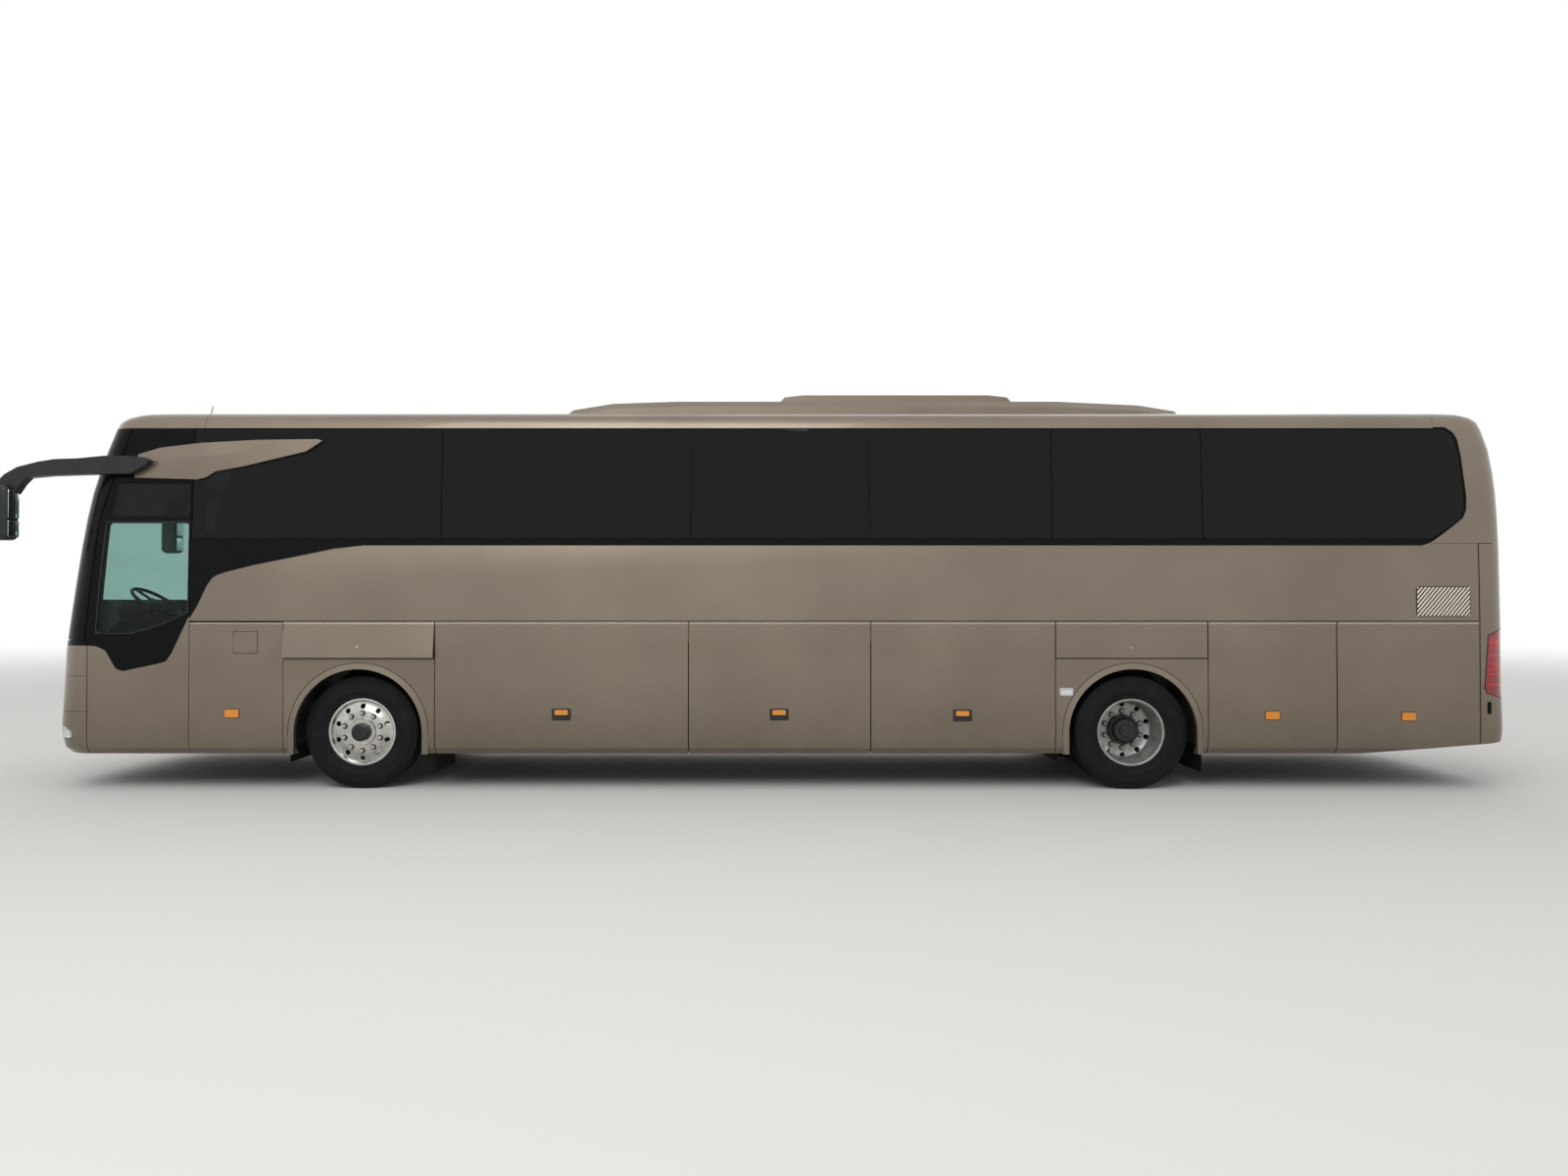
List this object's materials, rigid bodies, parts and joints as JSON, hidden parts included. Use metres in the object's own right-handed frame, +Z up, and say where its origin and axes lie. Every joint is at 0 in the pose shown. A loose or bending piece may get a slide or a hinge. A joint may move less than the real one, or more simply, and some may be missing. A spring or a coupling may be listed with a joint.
{
  "type": "coach bus",
  "caption": "High-floor touring coach with swing-out doors, top-hinged side flaps, steered front wheels, twin rear wheels, dark glazing and a roof air unit.",
  "frame": {"origin": "on the ground under the middle of the whole vehicle's box, mirrors included", "axes": "-X towards the front, -Y to the driver's left side, +Z up"},
  "size_m": [13.5188, 2.836, 3.668],
  "materials": {
    "champagne_paint": "metallic gloss",
    "black_trim": "gloss",
    "clear_glass": "clear, green tint",
    "tinted_glass": "dark tint",
    "lamp_glass": "clear",
    "red_lens": "gloss",
    "frame_steel": "matt",
    "floor_vinyl": "matt",
    "axle_iron": "matt",
    "tyre_rubber": "matt",
    "polished_alloy": "polished",
    "silver_steel": "satin",
    "seat_cloth": "woven"
  },
  "bodies": {
    "coach": {"cab_sides": "champagne_paint", "saloon_side_left": "champagne_paint", "saloon_side_right": "champagne_paint", "skirts": "champagne_paint", "front_mask": "champagne_paint", "front_cap": "champagne_paint", "roof": "champagne_paint", "rear_cap": "champagne_paint", "rear_mask": "champagne_paint", "roof_unit": "champagne_paint", "mirror_fairings": "champagne_paint", "screen_frame": "black_trim", "mirrors": "black_trim", "dashboard": "black_trim", "steering_wheel": "black_trim", "cab_glazing": "clear_glass", "saloon_glazing": "tinted_glass", "headlamps": "lamp_glass", "tail_lamps": "red_lens", "skirt_posts": "frame_steel", "underframe": "frame_steel", "wheel_housings": "frame_steel", "cab_floor": "floor_vinyl", "saloon_floor": "floor_vinyl", "front_axle": "axle_iron", "rear_axle": "axle_iron", "engine": "axle_iron", "seat_cushions": "seat_cloth", "seat_backs": "seat_cloth"},
    "front_arch_flap_left": {"front_arch_flap_left": "champagne_paint"},
    "front_arch_flap_right": {"front_arch_flap_right": "champagne_paint"},
    "bay_flap_1_left": {"bay_flap_1_left": "champagne_paint"},
    "bay_flap_1_right": {"bay_flap_1_right": "champagne_paint"},
    "bay_flap_2_left": {"bay_flap_2_left": "champagne_paint"},
    "bay_flap_2_right": {"bay_flap_2_right": "champagne_paint"},
    "bay_flap_3_left": {"bay_flap_3_left": "champagne_paint"},
    "rear_arch_flap_left": {"rear_arch_flap_left": "champagne_paint"},
    "rear_arch_flap_right": {"rear_arch_flap_right": "champagne_paint"},
    "engine_flap_1_left": {"engine_flap_1_left": "champagne_paint"},
    "engine_flap_1_right": {"engine_flap_1_right": "champagne_paint"},
    "engine_flap_2_left": {"engine_flap_2_left": "champagne_paint"},
    "engine_flap_2_right": {"engine_flap_2_right": "champagne_paint"},
    "filler_lid": {"filler_lid": "champagne_paint"},
    "engine_hatch": {"engine_hatch": "champagne_paint"},
    "front_door_arm": {"front_door_arm": "frame_steel"},
    "front_door": {"front_door_leaf": "champagne_paint", "front_door_glass": "clear_glass"},
    "mid_door_arm": {"mid_door_arm": "frame_steel"},
    "mid_door": {"mid_door_leaf": "champagne_paint", "mid_door_glass": "clear_glass"},
    "knuckle_left": {"knuckle_left": "axle_iron"},
    "knuckle_right": {"knuckle_right": "axle_iron"},
    "front_wheel_left": {"front_tyre_left": "tyre_rubber", "front_rim_left": "polished_alloy"},
    "front_wheel_right": {"front_tyre_right": "tyre_rubber", "front_rim_right": "polished_alloy"},
    "rear_wheel_left": {"rear_tyres_left": "tyre_rubber", "rear_rims_left": "silver_steel"},
    "rear_wheel_right": {"rear_tyres_right": "tyre_rubber", "rear_rims_right": "silver_steel"}
  },
  "joints": [
    {"name": "front_arch_flap_left_hinge", "type": "hinge", "parent": "coach", "child": "front_arch_flap_left", "pos_m": [-3.524, -1.275, 1.489], "axis": [-1, 0, 0], "range_deg": [-8, 77]},
    {"name": "front_arch_flap_right_hinge", "type": "hinge", "parent": "coach", "child": "front_arch_flap_right", "pos_m": [-3.524, 1.275, 1.489], "axis": [1, 0, 0], "range_deg": [0, 85]},
    {"name": "bay_flap_1_left_hinge", "type": "hinge", "parent": "coach", "child": "bay_flap_1_left", "pos_m": [-1.725, -1.275, 1.489], "axis": [-1, 0, 0], "range_deg": [0, 85]},
    {"name": "bay_flap_1_right_hinge", "type": "hinge", "parent": "coach", "child": "bay_flap_1_right", "pos_m": [-1.725, 1.275, 1.489], "axis": [1, 0, 0], "range_deg": [0, 85]},
    {"name": "bay_flap_2_left_hinge", "type": "hinge", "parent": "coach", "child": "bay_flap_2_left", "pos_m": [0.211, -1.275, 1.489], "axis": [-1, 0, 0], "range_deg": [0, 85]},
    {"name": "bay_flap_2_right_hinge", "type": "hinge", "parent": "coach", "child": "bay_flap_2_right", "pos_m": [0.211, 1.275, 1.489], "axis": [1, 0, 0], "range_deg": [0, 85]},
    {"name": "bay_flap_3_left_hinge", "type": "hinge", "parent": "coach", "child": "bay_flap_3_left", "pos_m": [1.84, -1.275, 1.489], "axis": [-1, 0, 0], "range_deg": [0, 85]},
    {"name": "rear_arch_flap_left_hinge", "type": "hinge", "parent": "coach", "child": "rear_arch_flap_left", "pos_m": [3.3365, -1.275, 1.489], "axis": [-1, 0, 0], "range_deg": [0, 85]},
    {"name": "rear_arch_flap_right_hinge", "type": "hinge", "parent": "coach", "child": "rear_arch_flap_right", "pos_m": [3.3365, 1.275, 1.489], "axis": [1, 0, 0], "range_deg": [0, 85]},
    {"name": "engine_flap_1_left_hinge", "type": "hinge", "parent": "coach", "child": "engine_flap_1_left", "pos_m": [4.585, -1.275, 1.489], "axis": [-1, 0, 0], "range_deg": [0, 85]},
    {"name": "engine_flap_1_right_hinge", "type": "hinge", "parent": "coach", "child": "engine_flap_1_right", "pos_m": [4.585, 1.275, 1.489], "axis": [1, 0, 0], "range_deg": [0, 85]},
    {"name": "engine_flap_2_left_hinge", "type": "hinge", "parent": "coach", "child": "engine_flap_2_left", "pos_m": [5.792, -1.275, 1.489], "axis": [-1, 0, 0], "range_deg": [0, 85]},
    {"name": "engine_flap_2_right_hinge", "type": "hinge", "parent": "coach", "child": "engine_flap_2_right", "pos_m": [5.792, 1.275, 1.489], "axis": [1, 0, 0], "range_deg": [0, 85]},
    {"name": "filler_lid_hinge", "type": "hinge", "parent": "coach", "child": "filler_lid", "pos_m": [-4.6365, -1.275, 1.31], "axis": [0, 0, -1], "range_deg": [0, 110]},
    {"name": "engine_hatch_hinge", "type": "hinge", "parent": "coach", "child": "engine_hatch", "pos_m": [6.761, 0, 1.755], "axis": [0, -1, 0], "range_deg": [0, 75]},
    {"name": "front_door_swing", "type": "hinge", "parent": "coach", "child": "front_door_arm", "pos_m": [-5.65, 1.172, 1.2], "axis": [0, 0, 1], "range_deg": [0, 135]},
    {"name": "front_door_leaf_pivot", "type": "hinge", "parent": "front_door_arm", "child": "front_door", "pos_m": [-5.225, 1.172, 1.2], "axis": [0, 0, 1], "range_deg": [-135, 0]},
    {"name": "mid_door_swing", "type": "hinge", "parent": "coach", "child": "mid_door_arm", "pos_m": [1.703, 1.172, 1.2], "axis": [0, 0, -1], "range_deg": [0, 135]},
    {"name": "mid_door_leaf_pivot", "type": "hinge", "parent": "mid_door_arm", "child": "mid_door", "pos_m": [1.278, 1.172, 1.2], "axis": [0, 0, -1], "range_deg": [-135, 0]},
    {"name": "steer_left", "type": "hinge", "parent": "coach", "child": "knuckle_left", "pos_m": [-3.528, -0.957, 0.41], "axis": [0, 0, 1], "range_deg": [-45, 45]},
    {"name": "steer_right", "type": "hinge", "parent": "coach", "child": "knuckle_right", "pos_m": [-3.528, 0.957, 0.41], "axis": [0, 0, 1], "range_deg": [-45, 45]},
    {"name": "front_wheel_left_spin", "type": "hinge", "parent": "knuckle_left", "child": "front_wheel_left", "pos_m": [-3.528, -1.057, 0.505], "axis": [0, 1, 0], "continuous": true},
    {"name": "front_wheel_right_spin", "type": "hinge", "parent": "knuckle_right", "child": "front_wheel_right", "pos_m": [-3.528, 1.057, 0.505], "axis": [0, 1, 0], "continuous": true},
    {"name": "rear_wheel_left_spin", "type": "hinge", "parent": "coach", "child": "rear_wheel_left", "pos_m": [3.345, -0.931, 0.505], "axis": [0, 1, 0], "continuous": true},
    {"name": "rear_wheel_right_spin", "type": "hinge", "parent": "coach", "child": "rear_wheel_right", "pos_m": [3.345, 0.931, 0.505], "axis": [0, 1, 0], "continuous": true}
  ],
  "couplings": [
    {"joint": "front_door_leaf_pivot", "follows": "front_door_swing", "ratio": -1},
    {"joint": "mid_door_leaf_pivot", "follows": "mid_door_swing", "ratio": -1},
    {"joint": "steer_right", "follows": "steer_left", "ratio": 1}
  ]
}
